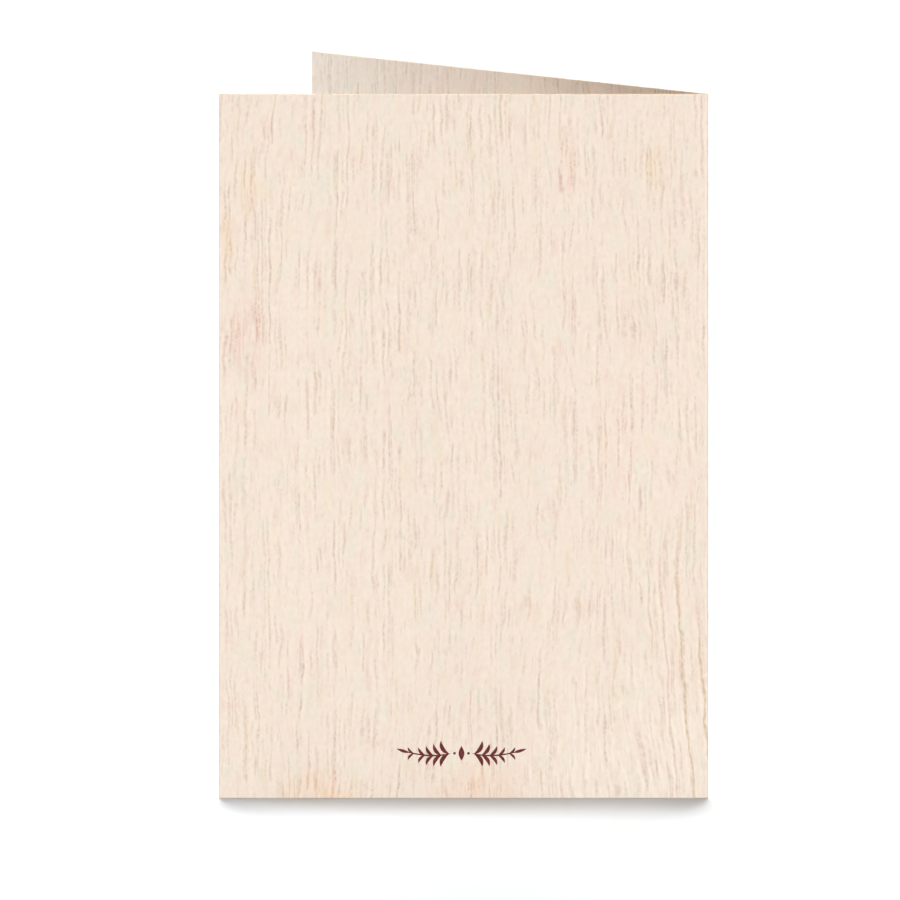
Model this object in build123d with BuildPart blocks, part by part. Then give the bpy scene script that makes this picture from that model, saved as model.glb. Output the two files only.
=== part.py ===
from build123d import *
import os

# A greeting card: one thin sheet of pale wood, scored and folded down its middle, and stood
# half open on its bottom edges. Lengths are in mm and angles in degrees.
# The back cover faces -Y, the spine stands upright at the +X end, and the front cover
# opens away from it towards +Y.

panel_width = 104.8  # a cover, from its free edge to the outermost line of the spine
panel_height = 152.4  # a cover, from its bottom edge to its top edge
sheet_thickness = 0.6
opening_angle = 35.9  # between the inner faces of the two covers
inside_fold_radius = 0.15  # from the centre of the bend to the covers' inner faces
score_depth = 0.25  # of the channel cut in the inner face, which lets the sheet bend

fold_turn = 180 - opening_angle  # how far the sheet turns as it goes round the spine
spine_radius = inside_fold_radius + sheet_thickness
score_radius = inside_fold_radius + score_depth  # of the channel's floor, after folding
cover_run = panel_width - spine_radius  # the flat part of a cover


# The section of the folded sheet, seen from above, with the centre of the bend at (0, 0)
with BuildSketch() as card_section:
    # The outer face runs from free edge to free edge, and the sheet lies inside it.
    with BuildLine():
        Line((-cover_run, -spine_radius), (0, -spine_radius))
        spine = CenterArc((0, 0), spine_radius, -90, fold_turn)
        PolarLine(spine @ 1, cover_run, direction=spine % 1)
        offset(amount=sheet_thickness, side=Side.LEFT)
    make_face()
    # The score is a flat-bottomed channel, and folding wraps its floor round the bend.
    with BuildLine():
        score_floor = CenterArc((0, 0), score_radius, -90, fold_turn)
        Line(score_floor @ 1, (0, 0))
        Line((0, 0), score_floor @ 0)
    make_face(mode=Mode.SUBTRACT)


# The origin is under the middle of the footprint, on the surface that the card stands on.
footprint_middle = card_section.sketch.bounding_box().center()

with BuildPart() as folded_card:
    with BuildSketch(Plane(origin=(-footprint_middle.X, -footprint_middle.Y, 0))):
        add(card_section.sketch)
    extrude(amount=panel_height)

folded_card.part.label = "folded_card"

os.makedirs("parts", exist_ok=True)
export_step(folded_card.part, "parts/folded_card.step")
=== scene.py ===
import math

import bpy
import numpy as np
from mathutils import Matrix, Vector


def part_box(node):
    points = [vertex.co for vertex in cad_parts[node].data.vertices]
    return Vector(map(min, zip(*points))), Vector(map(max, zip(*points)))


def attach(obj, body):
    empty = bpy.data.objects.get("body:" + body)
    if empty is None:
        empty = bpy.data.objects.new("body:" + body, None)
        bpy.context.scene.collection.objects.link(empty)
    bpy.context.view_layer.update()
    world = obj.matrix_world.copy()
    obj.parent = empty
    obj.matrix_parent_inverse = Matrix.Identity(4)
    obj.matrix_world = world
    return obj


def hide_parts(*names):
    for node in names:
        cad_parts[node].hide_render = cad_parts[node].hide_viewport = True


# A greeting card of thin pale wood, folded once and standing half open on its bottom edges.
# Lengths named ...Mm are millimetres; everything that reaches Blender is in metres.

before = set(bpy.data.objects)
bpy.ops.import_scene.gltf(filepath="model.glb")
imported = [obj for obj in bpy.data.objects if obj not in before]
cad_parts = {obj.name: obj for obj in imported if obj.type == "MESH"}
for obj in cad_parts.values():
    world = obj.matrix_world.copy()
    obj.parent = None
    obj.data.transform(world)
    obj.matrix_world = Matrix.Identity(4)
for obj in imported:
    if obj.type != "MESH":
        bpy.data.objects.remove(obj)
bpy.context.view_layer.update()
mm = 0.001
crispDegrees = 35  # an edge that turns further than this isn't shaded smooth


# Colours and nodes

def linear(hexColour):
    # The three sRGB bytes of a hex colour, each put through the sRGB curve, and alpha 1.
    channels = [int(hexColour[at:at + 2], 16) / 255 for at in (1, 3, 5)]
    return [c / 12.92 if c <= 0.04045 else ((c + 0.055) / 1.055) ** 2.4 for c in channels] + [1.0]


def addNode(tree, kind, parts={}):
    # A part is a property of the node where it has one of that name, and otherwise it goes to the
    # input of that name or number. A socket, or another node's first output in use, is linked to
    # that input, and anything else is its value. A Mix node's two colours are its inputs 6 and 7.
    node = tree.nodes.new("ShaderNode" + kind)
    for name, part in parts.items():
        if isinstance(part, bpy.types.Node):
            part = next(output for output in part.outputs if output.enabled)
        if isinstance(name, str) and hasattr(node, name):
            setattr(node, name, part)
        elif isinstance(part, bpy.types.NodeSocket):
            tree.links.new(part, node.inputs[name])
        else:
            node.inputs[name].default_value = part
    return node


def newMaterial(name):
    material = bpy.data.materials.new(name)
    material.use_nodes = True
    material.node_tree.nodes.clear()
    return material, material.node_tree


def finishSurface(tree, parts):
    # The one Principled shader of a material, and its output.
    shader = addNode(tree, "BsdfPrincipled", parts)
    addNode(tree, "OutputMaterial", {"Surface": shader})


def newPiece(name, points, faces, materials):
    # Points in metres and faces as rows of corner numbers become a smooth-shaded object.
    mesh = bpy.data.meshes.new(name)
    mesh.from_pydata(points, [], faces)
    mesh.validate()
    mesh.shade_smooth()
    mesh.set_sharp_from_angle(angle=math.radians(crispDegrees))
    for material in materials:
        mesh.materials.append(material)
    piece = bpy.data.objects.new(name, mesh)
    bpy.context.scene.collection.objects.link(piece)
    return piece


# The folded sheet

sheet = {
    "thicknessMm": 0.6,
    "openingDegrees": 35.9,
    "insideFoldMm": 0.15,
    "scoreDepthMm": 0.25,
    "edgeRoundMm": 0.10,  # how far handling has softened the free edges
    "endRoundMm": 0.09,  # and the top and bottom ones
    "edgeSteps": 4,  # faces round a softened free edge
    "endSteps": 3,
    "foldSteps": 14,  # faces round half of the spine
    "faceStepMm": 4.0,  # between rows of faces on the flat covers
    "borderMm": 0.3,  # how far from a softened edge and from the bend the even rows stop
    "bendBordersMm": (0.12, 0.04),  # two more rows between there and the bend
}


def halfSection(width):
    # Half of the sheet's section, from the back cover's free edge to the middle of the spine,
    # with the centre of the bend at (0, 0). It is two matched rows of points, one on the outer
    # face and one on the inner: a quarter circle at the free edge, the flat cover, then the
    # spine's arc outside and the step down to the score's floor inside. Each point has x, y,
    # the direction of its inset from the end faces, its distance along the flattened sheet
    # and its depth below the outer face.
    thick, inside = sheet["thicknessMm"], sheet["insideFoldMm"]
    outerRadius = inside + thick
    scoreRadius = inside + sheet["scoreDepthMm"]
    run = width - outerRadius
    corner, border = sheet["edgeRoundMm"], sheet["borderMm"]
    far, near = sheet["bendBordersMm"]

    turn = np.radians(np.linspace(180, 270, sheet["edgeSteps"] + 1))
    arcX = -run + corner + corner * np.cos(turn)
    arcRise = corner + corner * np.sin(turn)
    first, last = -run + corner + border, -border
    flatX = np.linspace(first, last, int((last - first) / sheet["faceStepMm"]) + 1)
    flats = len(flatX)
    spine = np.radians(-90 + np.linspace(0, (180 - sheet["openingDegrees"]) / 2, sheet["foldSteps"] + 1))
    floor = spine[1:]

    outerX = np.concatenate([arcX, flatX, [-far, -near], outerRadius * np.cos(spine)])
    outerY = np.concatenate([arcRise - outerRadius, np.full(flats + 2, -outerRadius),
                             outerRadius * np.sin(spine)])
    outerIn = np.column_stack([
        np.concatenate([-np.cos(turn), np.zeros(flats + 2), -np.cos(spine)]),
        np.concatenate([-np.sin(turn), np.ones(flats + 2), -np.sin(spine)])])

    innerX = np.concatenate([arcX, flatX, [-far, 0.0, 0.0], scoreRadius * np.cos(floor)])
    innerY = np.concatenate([-inside - arcRise, np.full(flats + 2, -inside), [-scoreRadius],
                             scoreRadius * np.sin(floor)])
    innerIn = np.column_stack([
        np.concatenate([-np.cos(turn), np.zeros(flats + 1), [-1.0, -1.0], np.cos(floor)]),
        np.concatenate([np.sin(turn), -np.ones(flats + 3), np.sin(floor)])])

    along = np.concatenate([np.concatenate([arcX, flatX, [-far, -near]]) + run,
                            run + outerRadius * (spine - spine[0])])
    outerDepth = np.concatenate([arcRise, np.zeros(len(along) - len(arcRise))])
    innerDepth = np.concatenate([thick - arcRise, np.full(flats + 2, thick),
                                 np.full(len(spine), outerRadius - scoreRadius)])
    outer = np.column_stack([outerX, outerY, outerIn, along, outerDepth])
    inner = np.column_stack([innerX, innerY, innerIn, along, innerDepth])
    return outer, inner


def mirrored(half):
    # The other half of a row: its reflection in the line that halves the fold, in turn.
    middle = math.radians(-90 + (180 - sheet["openingDegrees"]) / 2)
    line = np.array([math.cos(middle), math.sin(middle)])
    other = half[-2::-1].copy()
    for pair in (slice(0, 2), slice(2, 4)):
        other[:, pair] = 2 * (other[:, pair] @ line)[:, None] * line - other[:, pair]
    other[:, 4] = 2 * half[-1, 4] - other[:, 4]
    return np.concatenate([half, other])


def makeFoldedSheet(materials):
    # The section is carried up the height. Its loop goes out along the outer row and back
    # along the inner one, and near both ends it draws in by a quarter circle.
    low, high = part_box("folded_card")
    height = (high.z - low.z) / mm
    outer, inner = (mirrored(half) for half in halfSection((high.x - low.x) / mm))
    loop = np.concatenate([outer, inner[::-1]])
    count, half = len(loop), len(outer)

    end, endSteps, border = sheet["endRoundMm"], sheet["endSteps"], sheet["borderMm"]
    turn = np.radians(np.linspace(0, 90, endSteps + 1))
    rise, drawn = end * (1 - np.cos(turn)), end * (1 - np.sin(turn))
    middle = np.linspace(end + border, height - end - border, int(height / sheet["faceStepMm"]))
    levels = np.concatenate([rise, middle, height - rise[::-1]])
    insets = np.concatenate([drawn, np.zeros(len(middle)), drawn[::-1]])

    flat = loop[None, :, 0:2] + insets[:, None, None] * loop[None, :, 2:4]
    flat[..., 0] += high.x / mm - loop[:, 0].max()
    flat[..., 1] += low.y / mm - loop[:, 1].min()
    points = np.concatenate([flat, np.broadcast_to(levels[:, None, None], flat.shape[:2] + (1,))], axis=2)

    at = np.arange(len(levels) * count).reshape(len(levels), count)
    after = np.roll(at, -1, axis=1)
    walls = np.stack([at[:-1], after[:-1], after[1:], at[1:]], axis=-1).reshape(-1, 4)
    row, back = np.arange(half - 1), count - 1 - np.arange(half - 1)
    cap = np.stack([row, back, back - 1, row + 1], axis=-1)
    faces = np.concatenate([walls, cap, at[-1, 0] + cap[:, ::-1]])
    piece = newPiece("foldedCard", points.reshape(-1, 3) * mm, faces.tolist(), materials)

    # Where each point lies in the flat sheet: across the grain, along it, and below the face.
    place = np.empty((len(levels), count, 3), np.float32)
    place[..., 0], place[..., 1], place[..., 2] = loop[:, 4], levels[:, None], loop[:, 5]
    attribute = piece.data.attributes.new("sheetPlaceMm", "FLOAT_VECTOR", "POINT")
    attribute.data.foreach_set("vector", place.ravel())

    # The cut edges: the two end caps with their rounding, and the free edges' faces.
    corner, steps = np.arange(count), sheet["edgeSteps"]
    backEdge = (corner < steps) | (corner >= count - steps - 1)
    frontEdge = (corner >= half - steps - 1) & (corner < half + steps)
    cut = np.zeros((len(levels) - 1, count), bool)
    cut[:, backEdge | frontEdge] = True
    cut[:endSteps] = True
    cut[-endSteps:] = True
    kind = np.concatenate([cut.ravel(), np.ones(2 * (half - 1), bool)]).astype(np.int32)
    piece.data.polygons.foreach_set("material_index", kind)
    return piece


# Pale open-pored veneer, such as okoume: peeled, sanded and left bare. The long cut-open pores
# show as fine dark beaded lines over a matte cream face with faint pink and golden stains. The
# light that the pores' edges catch is partly raised by the bump and partly a painted highlight in
# the colour, and one pale spot at the foot is painted light. Real pores are about 0.2 mm wide,
# which is too fine to show in the render, so they are drawn twice as wide.

veneer = {
    "woodHex": "#F8E7D7",
    "roughness": 0.68,
    "ior": 1.5,
    "specular": 0.3,
    "innerShiftMm": (340.0, 93.0, 0.0),  # the inner face is cut from another part of the log
    "noiseShift": (7.3, 3.1),  # keeps noise of different sizes from lining up at its origin

    # slow bends of the grain: size across and along, and how far a line wanders each way, in mm
    "wander": (((60.0, 110.0), 1.7), ((9.0, 26.0), 0.60), ((2.4, 6.0), 0.34), ((1.0, 1.8), 0.05)),
    # the grain leans out at the foot beside the spine: where that starts and is full across, holds
    # to and ends across, then starts and is full along, and by how much
    "leanAcrossMm": (77.0, 96.0, 108.0, 130.0),
    "leanAlongMm": (56.0, -4.0),
    "leanMm": 4.8,

    # lines of pores: spacing across, length of a stretch and of a bead in mm, how readily a
    # stretch shows, and strength
    "pores": {
        "chain": (1.45, 10.5, 1.00, -0.02, 0.35),
        "thread": (1.05, 5.5, 0.80, -0.12, 0.24),
        "dash": (0.90, 1.5, 0.55, -0.22, 0.13),
    },
    "layerShift": 37,  # keeps the lines of the layers apart
    # size across of the noise of stretches and of beads, as a share of the lines' spacing, which
    # is so small that no two lines read the same
    "rowShares": (0.13, 0.21),
    "stretchLevels": (-0.12, 0.42),  # of that noise, where a stretch starts to show and is full
    "beadLevels": (-0.45, 0.33, 0.36),  # the same for a bead, and what is left between beads
    "bundleMm": (5.0, 12.0),  # of the places where pores crowd together, between others with few
    "bundling": 0.55,
    # a pore's section: distance to the right of its middle in mm, then how dark, how much painted
    # highlight (on its lips, the left one more, as if lit from the right) and how deep it is there, as shares
    "section": (
        (-0.94, 0.0, 0.0, 0.0),
        (-0.62, 0.0, 1.0, 0.0),
        (-0.34, 0.0, 0.1, 0.1),
        (-0.08, 1.0, 0.0, 1.0),
        (0.08, 1.0, 0.0, 1.0),
        (0.34, 0.0, 0.1, 0.1),
        (0.62, 0.0, 0.85, 0.0),
        (0.94, 0.0, 0.0, 0.0),
    ),
    "poreDepthMm": 0.040,
    "lipRiseMm": 0.012,
    "lipPaintedHighlight": 0.118,
    # what a pore holds, from where in the tints' noise it starts
    "poreHexes": (("#D4A99E", -1.0), ("#C8AE9A", -0.44), ("#D2B188", 0.50)),
    "poreTintMm": (1.3, 13.0),

    # size across and along in mm, and how far the tone moves each way
    "tones": {"fibre": ((0.75, 4.0), 0.018), "mottle": ((0.8, 1.3), 0.030), "broad": ((14.0, 50.0), 0.012)},
    # faint fields of colour: size across and along in mm, hex, and how much of it
    "tints": {
        "pink": ((2.0, 7.0), "#F3D6C8", 0.34),
        "cream": ((5.0, 8.0), "#EFE9D6", 0.44),
        "gold": ((2.0, 9.0), "#F2DFBD", 0.24),
    },
    "tintLevels": (0.20, 0.75),  # of the noise, where a field starts and is full

    # stains that are seen at one place of the back cover, and one spot of painted light: across and
    # along in mm from its outer bottom corner, half width and half height in mm, hex of the face, hex
    # that filters its pores, and how much of the first
    "stainsAndPaintedLight": {
        "pinkLeft": (5.8, 101.0, 4.8, 12.0, "#F0CBBC", "#FFC0BC", 0.38),
        "goldLeft": (6.2, 132.0, 2.2, 8.0, "#F0D3AA", "#FFE4C0", 0.36),
        "orangeEdge": (1.8, 121.0, 1.6, 8.0, "#F3D2AE", "#FFDDBC", 0.50),
        "pinkHigh": (74.5, 138.0, 3.0, 9.0, "#F0CEBF", "#FFCECA", 0.26),
        "goldHigh": (93.0, 136.0, 2.4, 7.0, "#F1DAB0", "#FFECC8", 0.34),
        "brownHigh": (89.0, 104.0, 4.0, 9.0, "#EED2BF", "#F8D8CC", 0.40),
        "pinkMiddle": (86.0, 77.0, 4.5, 15.0, "#F1CFC1", "#FFD8D4", 0.16),
        "blotch": (73.0, 98.0, 1.6, 2.6, "#EFD0C2", "#FFE8E4", 0.36),
        "creamHigh": (20.5, 131.0, 4.5, 8.0, "#F0EBDA", "#FFFFFF", 0.35),
        "orangeFoot": (21.5, -1.0, 9.5, 8.0, "#F7D8B8", "#FFD2B4", 0.56),
        "pinkFoot": (56.0, -1.0, 11.0, 9.0, "#F6D4BC", "#FFC8B4", 0.56),
        "goldLow": (84.5, 20.0, 2.6, 9.0, "#F1D8AE", "#FFEAC4", 0.30),
        # not a stain: painted light, a pale spot that lifts the foot of the cover beside the spine, where
        # less light comes back from the shadowed floor
        "paintedLightFoot": (86.0, 8.0, 24.0, 24.0, "#FFF1E3", "#FFFFFF", 0.50),
    },
    "spotEdge": (1.2, 0.3),  # shares of the half sizes, where a spot starts and is full
    # a stain is drawn in threads: their size in mm, levels of their noise and least share, and a
    # gain that makes up for the gaps between them
    "threadMm": (0.6, 8.0),
    "threadLevels": (-0.10, 0.45, 0.20),
    "threadGain": 1.6,
    # places of the back cover where pores crowd together: across and along in mm, half width and
    # half height in mm, and how much is added to what decides where they show
    "crowds": {
        "left": (8.0, 116.0, 12.0, 32.0, 0.17),
        "spine": (98.0, 118.0, 11.0, 42.0, 0.14),
        "high": (50.0, 118.0, 34.0, 36.0, 0.08),
        "middle": (44.0, 66.0, 22.0, 20.0, 0.06),
    },

    # long lines of the grain, straight once its bends are taken out: across in mm, lowest and
    # highest point in mm, how many times a pore's width, hex, and how much of it
    "longLines": {
        "spineLine": (97.2, -12.0, 66.0, 1.10, "#C8A06A", 0.56),
        "outerLine": (101.2, 2.0, 50.0, 1.10, "#C39C68", 0.56),
        "pinkLine": (93.7, -4.0, 64.0, 1.05, "#D0A28A", 0.44),
        "shortLine": (91.1, 26.0, 62.0, 1.00, "#C8A676", 0.42),
        "topLine": (60.8, 138.0, 166.0, 1.10, "#DBA570", 0.44),
    },
    "lineFadesMm": (10.0, 20.0),  # towards the lower end and the upper one
    "lineBeadMm": (0.5, 1.1),
    "lineBeadLevels": (-0.5, 0.4, 0.45),  # as the pores' beadLevels
}


def noiseField(tree, place, sizeMm, detail=1.0):
    # Soft noise about zero, drawn out to a size across and along the grain.
    across, along = sizeMm
    shiftAcross, shiftAlong = veneer["noiseShift"]
    scaled = addNode(tree, "VectorMath", {"operation": "MULTIPLY_ADD", 0: place,
                                          1: (1 / across, 1 / along, 0),
                                          2: (across * shiftAcross, along * shiftAlong, 0)})
    return addNode(tree, "TexNoise", {"noise_dimensions": "2D", "normalize": False, "Scale": 1.0,
                                      "Detail": detail, "Vector": scaled})


def softBand(tree, value, start, full, hold, end):
    # Eases up from 0 to 1 between the first two places, and back down between the last two.
    up = addNode(tree, "MapRange", {"interpolation_type": "SMOOTHSTEP", "Value": value,
                                    "From Min": start, "From Max": full})
    down = addNode(tree, "MapRange", {"interpolation_type": "SMOOTHSTEP", "Value": value,
                                      "From Min": end, "From Max": hold})
    return addNode(tree, "Math", {"operation": "MULTIPLY", 0: up, 1: down})


def spotAt(tree, place, acrossMm, alongMm, halfAcross, halfAlong):
    # 1 near the middle of an ellipse, easing down to 0 a little way outside it.
    start, full = veneer["spotEdge"]
    scaled = addNode(tree, "VectorMath", {"operation": "MULTIPLY", 0: place,
                                          1: (1 / halfAcross, 1 / halfAlong, 0)})
    apart = addNode(tree, "VectorMath", {"operation": "DISTANCE", 0: scaled,
                                         1: (acrossMm / halfAcross, alongMm / halfAlong, 0)})
    return addNode(tree, "MapRange", {"interpolation_type": "SMOOTHSTEP", "Value": apart,
                                      "From Min": start, "From Max": full})


def placeStops(ramp, stops):
    # Puts colours along a colour ramp, each with its place from 0 to 1, in rising order.
    for number, (place, colour) in enumerate(stops):
        stop = ramp.elements[number] if number < 2 else ramp.elements.new(place)
        stop.position, stop.color = place, colour


def sheetPlace(tree):
    # The place in the flat sheet in mm: across the grain, along it, and below the outer face.
    place = addNode(tree, "Attribute", {"attribute_name": "sheetPlaceMm"}).outputs["Vector"]
    depth = addNode(tree, "SeparateXYZ", {0: place}).outputs["Z"]
    inner = addNode(tree, "Math", {"operation": "GREATER_THAN", 0: depth, 1: sheet["thicknessMm"] / 2})
    shift = addNode(tree, "VectorMath", {"operation": "SCALE", 0: veneer["innerShiftMm"], "Scale": inner})
    return addNode(tree, "VectorMath", {"operation": "ADD", 0: place, 1: shift})


def straighten(tree, place):
    # Takes the bends out of the grain, so that a line has one value across all its length: the
    # lean is a smooth step along times a soft band across, and the rest is noise.
    parts = addNode(tree, "SeparateXYZ", {0: place})
    start, full = veneer["leanAlongMm"]
    lean = addNode(tree, "MapRange", {"interpolation_type": "SMOOTHSTEP", "Value": parts.outputs["Y"],
                                      "From Min": start, "From Max": full, "To Max": -veneer["leanMm"]})
    band = softBand(tree, parts.outputs["X"], *veneer["leanAcrossMm"])
    across = addNode(tree, "Math", {"operation": "MULTIPLY_ADD", 0: lean, 1: band, 2: parts.outputs["X"]})
    for size, reach in veneer["wander"]:
        bend = noiseField(tree, place, size)
        across = addNode(tree, "Math", {"operation": "MULTIPLY_ADD", 0: bend, 1: reach, 2: across})
    return across, parts.outputs["Y"]


def woodFace(tree, place, straight):
    # The colour of the face, and what filters the colour of its pores: faint fields of noise, then
    # the stains and the painted light at the foot, each a spot times the threads.
    colour, poreFilter = linear(veneer["woodHex"]), linear("#FFFFFF")
    start, full = veneer["tintLevels"]
    for size, tint, amount in veneer["tints"].values():
        field = noiseField(tree, straight, size)
        field = addNode(tree, "MapRange", {"interpolation_type": "SMOOTHSTEP", "Value": field,
                                           "From Min": start, "From Max": full, "To Max": amount})
        colour = addNode(tree, "Mix", {"data_type": "RGBA", 0: field, 6: colour, 7: linear(tint)})

    start, full, least = veneer["threadLevels"]
    threads = noiseField(tree, straight, veneer["threadMm"])
    threads = addNode(tree, "MapRange", {"interpolation_type": "SMOOTHSTEP", "Value": threads,
                                         "From Min": start, "From Max": full, "To Min": least})
    # All are stains except the pale spot at the foot beside the spine, which is painted light.
    for *ellipse, tint, poreTint, amount in veneer["stainsAndPaintedLight"].values():
        spot = spotAt(tree, place, *ellipse)
        stainAndPaintedLight = addNode(tree, "Math", {"operation": "MULTIPLY", 0: spot, 1: threads})
        stainAndPaintedLight = addNode(tree, "Math", {"operation": "MULTIPLY", 0: stainAndPaintedLight, 1: amount * veneer["threadGain"],
                                       "use_clamp": True})
        colour = addNode(tree, "Mix", {"data_type": "RGBA", 0: stainAndPaintedLight, 6: colour, 7: linear(tint)})
        poreFilter = addNode(tree, "Mix", {"data_type": "RGBA", 0: spot, 6: poreFilter, 7: linear(poreTint)})
    return colour, poreFilter


def poreSection(tree, aside, scale):
    # How dark, how much painted highlight and how deep a pore is at a distance from its middle
    # that is in mm once scaled.
    section = veneer["section"]
    span = section[-1][0] - section[0][0]
    share = addNode(tree, "Math", {"operation": "MULTIPLY_ADD", 0: aside, 1: scale / span, 2: 0.5})
    pore = addNode(tree, "ValToRGB", {0: share})
    pore.color_ramp.interpolation = "EASE"
    placeStops(pore.color_ramp, [(place / span + 0.5, (*shares, 1)) for place, *shares in section])
    return pore


def poreLines(tree, across, along, bundles, spacing, stretch, bead, ready, strength):
    # Lines stand at the points of a one-dimensional Voronoi pattern across the grain. Noise that
    # is read along each line, in a row of its own, breaks it into stretches and those into beads.
    count = addNode(tree, "Math", {"operation": "MULTIPLY_ADD", 0: across, 1: 1 / spacing,
                                   2: veneer["layerShift"] * spacing})
    line = addNode(tree, "TexVoronoi", {"voronoi_dimensions": "1D", "Scale": 1.0, "W": count}).outputs["W"]
    aside = addNode(tree, "Math", {"operation": "SUBTRACT", 0: count, 1: line})

    row = addNode(tree, "CombineXYZ", {"X": line, "Y": along})
    stretchShare, beadShare = veneer["rowShares"]
    start, full = veneer["stretchLevels"]
    shown = noiseField(tree, row, (stretchShare, stretch))
    shown = addNode(tree, "Math", {"operation": "ADD", 0: shown, 1: bundles})
    shown = addNode(tree, "MapRange", {"interpolation_type": "SMOOTHSTEP", "Value": shown, "To Max": strength,
                                       "From Min": start - ready, "From Max": full - ready})
    start, full, least = veneer["beadLevels"]
    beads = noiseField(tree, row, (beadShare, bead))
    beads = addNode(tree, "MapRange", {"interpolation_type": "SMOOTHSTEP", "Value": beads,
                                       "From Min": start, "From Max": full, "To Min": least})
    force = addNode(tree, "Math", {"operation": "MULTIPLY", 0: shown, 1: beads})
    pore = poreSection(tree, aside, spacing)
    return addNode(tree, "VectorMath", {"operation": "SCALE", 0: pore, "Scale": force})


def allPores(tree, place, across, along):
    # Dark, painted highlight and deep, added up over the layers of lines. Noise and the crowded
    # places move the level at which a stretch shows.
    bundles = noiseField(tree, place, veneer["bundleMm"])
    bundles = addNode(tree, "Math", {"operation": "MULTIPLY", 0: bundles, 1: veneer["bundling"]})
    for *ellipse, amount in veneer["crowds"].values():
        spot = spotAt(tree, place, *ellipse)
        bundles = addNode(tree, "Math", {"operation": "MULTIPLY_ADD", 0: spot, 1: amount, 2: bundles})
    pores = (0.0, 0.0, 0.0)
    for layer in veneer["pores"].values():
        lines = poreLines(tree, across, along, bundles, *layer)
        pores = addNode(tree, "VectorMath", {"operation": "ADD", 0: pores, 1: lines})
    return pores


def poreColour(tree, straight, poreFilter):
    # One of the pore colours, picked by noise along the grain, times the stains' filter.
    picked = noiseField(tree, straight, veneer["poreTintMm"])
    picked = addNode(tree, "Math", {"operation": "MULTIPLY_ADD", 0: picked, 1: 0.5, 2: 0.5})
    tinted = addNode(tree, "ValToRGB", {0: picked})
    tinted.color_ramp.interpolation = "CONSTANT"
    placeStops(tinted.color_ramp, [(start / 2 + 0.5, linear(tint)) for tint, start in veneer["poreHexes"]])
    return addNode(tree, "VectorMath", {"operation": "MULTIPLY", 0: tinted, 1: poreFilter})


def drawLongLines(tree, across, along, straight, colour, pores):
    # Each long line is a pore's section with a colour of its own, beaded, which fades to both ends.
    start, full, least = veneer["lineBeadLevels"]
    lowFade, highFade = veneer["lineFadesMm"]
    beads = noiseField(tree, straight, veneer["lineBeadMm"])
    beads = addNode(tree, "MapRange", {"interpolation_type": "SMOOTHSTEP", "Value": beads,
                                       "From Min": start, "From Max": full, "To Min": least})
    for acrossMm, low, high, width, tint, amount in veneer["longLines"].values():
        aside = addNode(tree, "Math", {"operation": "SUBTRACT", 0: across, 1: acrossMm})
        ends = softBand(tree, along, low, low + lowFade, high - highFade, high)
        force = addNode(tree, "Math", {"operation": "MULTIPLY", 0: ends, 1: beads})
        force = addNode(tree, "Math", {"operation": "MULTIPLY", 0: force, 1: amount})
        pore = poreSection(tree, aside, 1 / width)
        line = addNode(tree, "VectorMath", {"operation": "SCALE", 0: pore, "Scale": force})
        dark = addNode(tree, "SeparateXYZ", {0: line}).outputs["X"]
        colour = addNode(tree, "Mix", {"data_type": "RGBA", 0: dark, 6: colour, 7: linear(tint)})
        pores = addNode(tree, "VectorMath", {"operation": "ADD", 0: pores, 1: line})
    return colour, pores


def makeVeneer():
    # The face with its pores and long lines, with a painted highlight along the pores' lips and
    # toned by noise, over a bump of the lips less the pores' depth.
    material, tree = newMaterial("sandedVeneer")
    place = sheetPlace(tree)
    across, along = straighten(tree, place)
    straight = addNode(tree, "CombineXYZ", {"X": across, "Y": along})

    colour, poreFilter = woodFace(tree, place, straight)
    pores = allPores(tree, place, across, along)
    dark = addNode(tree, "SeparateXYZ", {0: pores}).outputs["X"]
    tint = poreColour(tree, straight, poreFilter)
    colour = addNode(tree, "Mix", {"data_type": "RGBA", 0: dark, 6: colour, 7: tint})
    colour, pores = drawLongLines(tree, across, along, straight, colour, pores)

    # Painted highlight: the colour is lightened on the pores' lips, the left one more, as where a lamp from
    # the right catches them. The noise tones after it are the wood's own.
    light = addNode(tree, "VectorMath", {"operation": "DOT_PRODUCT", 0: pores, 1: (0, veneer["lipPaintedHighlight"], 0)})
    light = addNode(tree, "Math", {"operation": "ADD", 0: light, 1: 1.0})
    for size, amount in veneer["tones"].values():
        tone = noiseField(tree, straight, size, detail=2.0)
        light = addNode(tree, "Math", {"operation": "MULTIPLY_ADD", 0: tone, 1: amount, 2: light})
    colour = addNode(tree, "VectorMath", {"operation": "SCALE", 0: colour, "Scale": light})
    height = addNode(tree, "VectorMath", {"operation": "DOT_PRODUCT", 0: pores,
                                          1: (0, veneer["lipRiseMm"], -veneer["poreDepthMm"])})
    bump = addNode(tree, "Bump", {"Strength": 1.0, "Distance": mm, "Height": height})
    finishSurface(tree, {"Roughness": veneer["roughness"], "IOR": veneer["ior"],
                         "Specular IOR Level": veneer["specular"], "Base Color": colour, "Normal": bump})
    return material


# Where a knife cut the veneer, its fibres end: a little deeper in colour than the face, and matte,
# with pin-holes that are drawn as coarse as they need to show.

cutEdge = {
    "woodHex": "#E8D5BE",
    "holeHex": "#C9AC8E",
    "roughness": 0.8,
    "ior": 1.5,
    "specular": 0.3,
    "holeMm": 0.35,
    "holeLevels": (0.50, 0.68),  # of the noise, where a hole starts and is full
    "holeShare": 0.7,  # of the holes' colour
    "holeDepthMm": 0.02,
}


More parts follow.
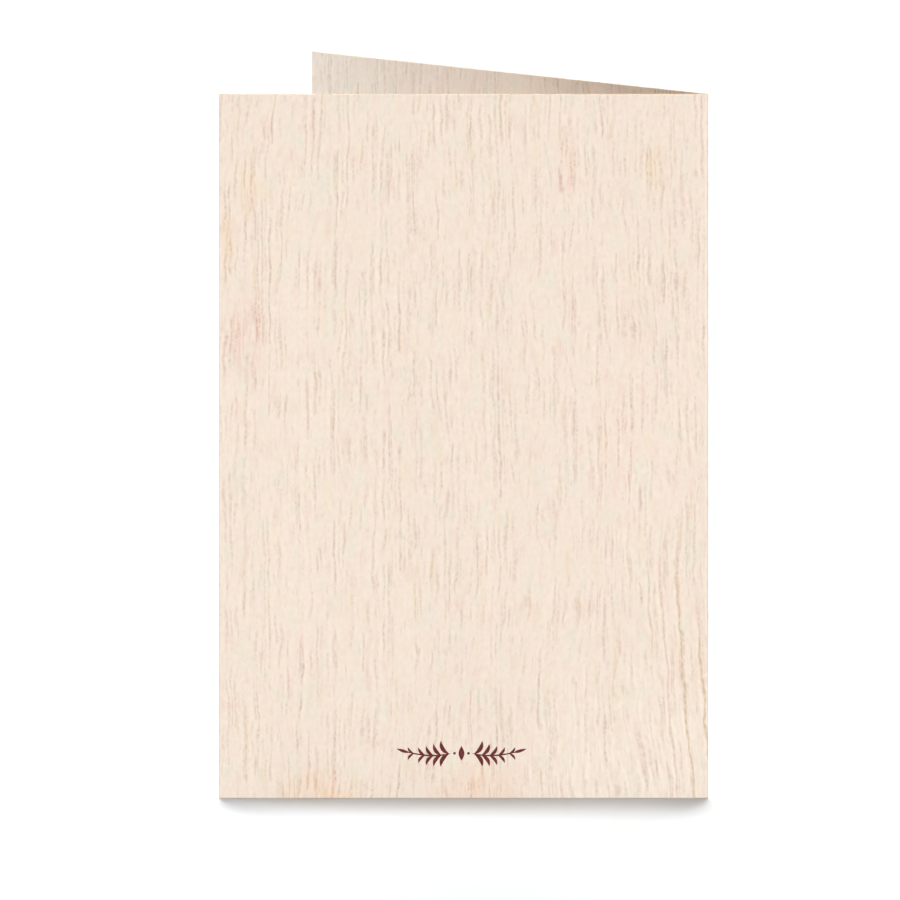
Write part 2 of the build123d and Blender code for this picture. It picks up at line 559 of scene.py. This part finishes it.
def makeCutEdge():
    material, tree = newMaterial("cutVeneerEdge")
    start, full = cutEdge["holeLevels"]
    place = addNode(tree, "TexCoord").outputs["Object"]
    place = addNode(tree, "VectorMath", {"operation": "SCALE", 0: place, "Scale": 1 / mm})
    holes = addNode(tree, "TexNoise", {"Scale": 1 / cutEdge["holeMm"], "Detail": 2.0, "Vector": place})
    holes = addNode(tree, "MapRange", {"interpolation_type": "SMOOTHSTEP", "Value": holes,
                                       "From Min": start, "From Max": full, "To Max": cutEdge["holeShare"]})
    colour = addNode(tree, "Mix", {"data_type": "RGBA", 0: holes, 6: linear(cutEdge["woodHex"]),
                                   7: linear(cutEdge["holeHex"])})
    height = addNode(tree, "Math", {"operation": "MULTIPLY", 0: holes, 1: -cutEdge["holeDepthMm"]})
    bump = addNode(tree, "Bump", {"Strength": 1.0, "Distance": mm, "Height": height})
    finishSurface(tree, {"Roughness": cutEdge["roughness"], "IOR": cutEdge["ior"],
                         "Specular IOR Level": cutEdge["specular"], "Base Color": colour, "Normal": bump})
    return material


print("stage: the folded sheet")
card = makeFoldedSheet([makeVeneer(), makeCutEdge()])
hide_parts("folded_card")
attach(card, "root")


# A small sprig printed at the foot of the back cover: thin dark red ink, laid on with a screen,
# so its face is matte, a little uneven in colour, and stands a hair above the wood.

sprig = {
    "middleMm": (-0.45, 9.7),  # from the cover's middle line, and above its bottom edge
    # outwards from the middle and up: where the stem of an arm starts, is drawn towards and ends,
    # then what its last leaf is drawn towards and how far it goes on
    "stemMm": ((2.3, 0.0), (6.255, -1.1), (11.676, 0.3)),
    "lastLeafMm": ((0.6, 0.1), (2.224, 0.7)),
    "stemWidthMm": 0.34,
    "leafPairs": 5,
    # the step of the stem that the leaf stands on, its length in mm, and its lean in degrees
    "innermostLeaf": (1, 3.3, 58.0),
    "outermostLeaf": (18, 1.9, 46.0),
    "leafBend": (0.6, 0.4),  # shares of its length and its lean, to what it is drawn towards
    "leafWidth": 0.27,  # of its length
    "lastLeafWidthMm": 0.648,
    "seedMm": (1.6, 0.62),  # half height and half width of the seed between the arms
    "dotsMm": (1.5, 0.3),  # of the dots beside it: from the middle, and half their width
    "strokeSteps": 22,
    "strokeSides": 10,
    # the power of a sine that a stroke's width swells by: the lower, the blunter its ends
    "swellPowers": {"stem": 0.25, "leaf": 0.8, "seed": 1.0, "dot": 0.5},
    "fullThickness": 2.5,  # a stroke is as thick as it gets from 1/2.5 of its greatest width
    "standsMm": 0.02,
    "sunkMm": 0.05,
    "inkHex": "#631F21",
    "thinInkHex": "#753A39",
    "roughness": 0.6,
    "ior": 1.5,
    "specular": 0.2,
    # patches of thinner ink: how many to a mm across, how many times as many upwards, the levels
    # of their noise, and the share of the ink's thickness that they lack
    "patchesToMm": 2.2,
    "patchesUp": 0.35,
    "patchLevels": (0.45, 0.75),
    "patchDepth": 0.25,
}


def inkStroke(path, widths):
    # A flattened ellipse carried along a path in the cover's plane: at each step the path's
    # normal times the half width gives the ellipse's long axis, and the ink's thickness its
    # short one, which is less where the stroke is narrow. Each end is one point.
    path = np.asarray(path, float)
    along = np.gradient(path, axis=0)
    along /= np.linalg.norm(along, axis=1)[:, None]
    side = np.column_stack([-along[:, 1], along[:, 0]])
    sides = sprig["strokeSides"]
    around = np.linspace(0, 2 * np.pi, sides, endpoint=False)
    out = widths[1:-1, None] * np.cos(around)
    flat = path[1:-1, None] + out[..., None] * side[1:-1, None]
    share = np.minimum(1, widths[1:-1] / widths.max() * sprig["fullThickness"])
    thick = share[:, None] * np.sin(around)
    deep = np.where(thick > 0, thick * sprig["standsMm"], thick * sprig["sunkMm"])
    rings = np.concatenate([flat, deep[..., None]], axis=2).reshape(-1, 3)
    points = np.concatenate([rings, [[*path[0], 0.0]], [[*path[-1], 0.0]]])

    count = len(path) - 2
    at = np.arange(count * sides).reshape(count, sides)
    after = np.roll(at, -1, axis=1)
    walls = np.stack([at[:-1], at[1:], after[1:], after[:-1]], axis=-1).reshape(-1, 4).tolist()
    first, last = len(points) - 2, len(points) - 1
    ends = [(first, a, b) for a, b in zip(at[0], after[0])]
    ends += [(last, b, a) for a, b in zip(at[-1], after[-1])]
    return points, walls + ends


def bent(start, over, end):
    # A quadratic curve from start to end that is drawn towards a point over them.
    start, over, end = np.array(start), np.array(over), np.array(end)
    step = np.linspace(0, 1, sprig["strokeSteps"])[:, None]
    return (1 - step) ** 2 * start + 2 * step * (1 - step) * over + step ** 2 * end


def towards(start, reach, lean):
    # The point at a distance from start, in a direction that leans from the level.
    return start + reach * np.array([math.cos(lean), math.sin(lean)])


def sprigStrokes():
    # One arm to the right and its mirror image, with leaves in pairs that shrink outwards, and
    # a seed with two dots between the arms. Each stroke is a path and its half widths, in mm,
    # which swell as a power of a sine.
    sine = np.sin(np.linspace(0, np.pi, sprig["strokeSteps"]))
    swell = {stroke: sine ** power for stroke, power in sprig["swellPowers"].items()}
    stem = bent(*sprig["stemMm"])
    arm = [(stem, sprig["stemWidthMm"] / 2 * swell["stem"])]
    innermost, outermost = np.array(sprig["innermostLeaf"]), np.array(sprig["outermostLeaf"])
    bendReach, bendLean = sprig["leafBend"]
    for share in np.linspace(0, 1, sprig["leafPairs"]):
        step, length, lean = innermost + share * (outermost - innermost)
        foot = stem[int(step)]
        for turn in (math.radians(lean), -math.radians(lean)):
            over = towards(foot, bendReach * length, bendLean * turn)
            tip = towards(foot, length, turn)
            arm.append((bent(foot, over, tip), sprig["leafWidth"] / 2 * length * swell["leaf"]))
    over, tip = sprig["lastLeafMm"]
    lastLeaf = bent(stem[-2], stem[-1] + over, stem[-1] + tip)
    arm.append((lastLeaf, sprig["lastLeafWidthMm"] / 2 * swell["leaf"]))

    strokes = arm + [(path * (-1, 1), widths) for path, widths in arm]
    halfHeight, halfWidth = sprig["seedMm"]
    strokes.append((bent((0.0, -halfHeight), (0.0, 0.0), (0.0, halfHeight)), halfWidth * swell["seed"]))
    out, half = sprig["dotsMm"]
    for aside in (-out, out):
        strokes.append((bent((aside - half, 0.0), (aside, 0.0), (aside + half, 0.0)), half * swell["dot"]))
    return strokes


def makeSprig(material):
    low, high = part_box("folded_card")
    aside, foot = sprig["middleMm"]
    middle = (low.x + high.x) / 2 / mm + aside
    points, faces = [], []
    for path, widths in sprigStrokes():
        strokePoints, strokeFaces = inkStroke(path, widths)
        first = sum(len(part) for part in points)
        points.append(strokePoints)
        faces += [tuple(int(first + corner) for corner in face) for face in strokeFaces]
    points = np.concatenate(points)
    placed = np.column_stack([middle + points[:, 0], low.y / mm - points[:, 2], foot + points[:, 1]])
    return newPiece("printedSprig", placed * mm, faces, [material])


def makeInk():
    material, tree = newMaterial("screenInk")
    start, full = sprig["patchLevels"]
    place = addNode(tree, "TexCoord").outputs["Object"]
    place = addNode(tree, "VectorMath", {"operation": "MULTIPLY", 0: place,
                                         1: (1 / mm, 0, sprig["patchesUp"] / mm)})
    thin = addNode(tree, "TexNoise", {"Scale": sprig["patchesToMm"], "Detail": 2.0, "Vector": place})
    thin = addNode(tree, "MapRange", {"interpolation_type": "SMOOTHSTEP", "Value": thin,
                                      "From Min": start, "From Max": full})
    colour = addNode(tree, "Mix", {"data_type": "RGBA", 0: thin, 6: linear(sprig["inkHex"]),
                                   7: linear(sprig["thinInkHex"])})
    height = addNode(tree, "Math", {"operation": "MULTIPLY", 0: thin,
                                    1: -sprig["standsMm"] * sprig["patchDepth"]})
    bump = addNode(tree, "Bump", {"Strength": 1.0, "Distance": mm, "Height": height})
    finishSurface(tree, {"Roughness": sprig["roughness"], "IOR": sprig["ior"],
                         "Specular IOR Level": sprig["specular"], "Base Color": colour, "Normal": bump})
    return material


print("stage: the printed sprig")
sprigPiece = makeSprig(makeInk())
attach(sprigPiece, "root")


# Floor, light and camera

studio = {
    "floorHex": "#EDEFF1",  # as it is seen
    "floorLightHex": "#4A4A4A",  # as it throws light back on the card
    "floorRoughness": 0.9,
    "floorSizeM": 30.0,
    "domeStrength": 0.16,
    # distant soft lamps: strength, azimuth that the light comes from with 0 in front, elevation,
    # angular size. The four overhead ones stand in for one long narrow lamp that runs back from
    # right above the card: it fades the shadow at the card's foot forwards and leaves its two
    # ends crisp.
    "suns": {
        "overhead1": (0.68, 180.0, 88.2, 4.0),
        "overhead2": (0.80, 180.0, 85.0, 4.5),
        "overhead3": (0.80, 180.0, 81.5, 5.0),
        "overhead4": (0.51, 180.0, 77.5, 6.0),
        "backFill": (2.3, 182.0, 20.0, 40.0),
    },
    # soft boxes: power, hex, place and aim in metres, width and height in metres. The first two
    # stand lower than the card's top, so none of their light passes over the cover.
    "boxes": {
        "front": (53.0, "#FFFFFF", (1.06, -2.27, 0.025), (0.0, 0.0, 0.025), (0.60, 0.04)),
        "left": (0.379, "#F6FDFF", (-0.35, -0.10, 0.045), (-0.02, 0.0, 0.12), (0.12, 0.08)),
        "openSide": (0.077, "#E1EEFA", (-0.13, 0.015, 0.165), (0.0, 0.0, 0.13), (0.05, 0.05)),
    },
}


def seenRays(tree):
    # 1 for the rays that the eye follows, straight, off a gloss or through glass, and 0 for the rest.
    rays = addNode(tree, "LightPath").outputs
    seen = addNode(tree, "Math", {"operation": "MAXIMUM", 0: rays["Is Camera Ray"], 1: rays["Is Glossy Ray"]})
    return addNode(tree, "Math", {"operation": "MAXIMUM", 0: seen, 1: rays["Is Transmission Ray"]})


def makeFloor():
    # A matte ground that is seen in one colour and throws light back on the card as a darker one.
    half = studio["floorSizeM"] / 2
    corners = [(-half, -half, 0), (half, -half, 0), (half, half, 0), (-half, half, 0)]
    material, tree = newMaterial("whiteGround")
    colour = addNode(tree, "Mix", {"data_type": "RGBA", 0: seenRays(tree), 6: linear(studio["floorLightHex"]),
                                   7: linear(studio["floorHex"])})
    finishSurface(tree, {"Roughness": studio["floorRoughness"], "Specular IOR Level": 0.0,
                         "Base Color": colour})
    floor = newPiece("ground", corners, [(0, 1, 2, 3)], [material])


def makeDome():
    # White where it is seen, and a plain even light for everything else.
    world = bpy.data.worlds.new("studioDome")
    world.use_nodes = True
    tree = world.node_tree
    tree.nodes.clear()
    strength = addNode(tree, "MapRange", {"Value": seenRays(tree), "To Min": studio["domeStrength"],
                                          "To Max": 1.0})
    light = addNode(tree, "Background", {"Color": (1, 1, 1, 1), "Strength": strength})
    addNode(tree, "OutputWorld", {"Surface": light})
    bpy.context.scene.world = world


def makeLamps():
    # Each lamp's own -Z is turned to look from its place to the card.
    for name, (strength, azimuth, elevation, size) in studio["suns"].items():
        data = bpy.data.lights.new(name, "SUN")
        data.energy = strength
        data.angle = math.radians(size)
        lamp = bpy.data.objects.new(name, data)
        lamp.rotation_euler = (math.radians(90 - elevation), 0, math.radians(azimuth))
        bpy.context.scene.collection.objects.link(lamp)
    for name, (power, tint, place, aim, (width, height)) in studio["boxes"].items():
        data = bpy.data.lights.new(name, "AREA")
        data.shape = "RECTANGLE"
        data.energy, data.size, data.size_y = power, width, height
        data.color = linear(tint)[:3]
        lamp = bpy.data.objects.new(name, data)
        lamp.location = place
        lamp.rotation_euler = (Vector(aim) - Vector(place)).to_track_quat("-Z", "Y").to_euler()
        lamp.visible_camera = False
        bpy.context.scene.collection.objects.link(lamp)


view = {
    "elevationDegrees": 8.5,
    "frameWidthMm": 192.73,  # what the picture's 900 pixels span
    "asideMm": -2.91,  # of the picture's centre from the back cover's, to the right
    "aimHeightMm": 70.72,
    "distanceM": 1.0,
    "farthestM": 50.0,
}


def makeCamera():
    # Square on to the back cover, a little from above, with parallel rays.
    data = bpy.data.cameras.new("camera")
    data.type = "ORTHO"
    data.ortho_scale = view["frameWidthMm"] * mm
    data.clip_end = view["farthestM"]
    camera = bpy.data.objects.new("camera", data)
    rise = math.radians(view["elevationDegrees"])
    camera.location = (view["asideMm"] * mm, -view["distanceM"] * math.cos(rise),
                       view["aimHeightMm"] * mm + view["distanceM"] * math.sin(rise))
    camera.rotation_euler = (math.radians(90) - rise, 0, 0)
    bpy.context.scene.collection.objects.link(camera)
    bpy.context.scene.camera = camera


print("stage: floor, light and camera")
makeFloor()
makeDome()
makeLamps()
makeCamera()
bpy.context.scene.view_settings.view_transform = "Standard"
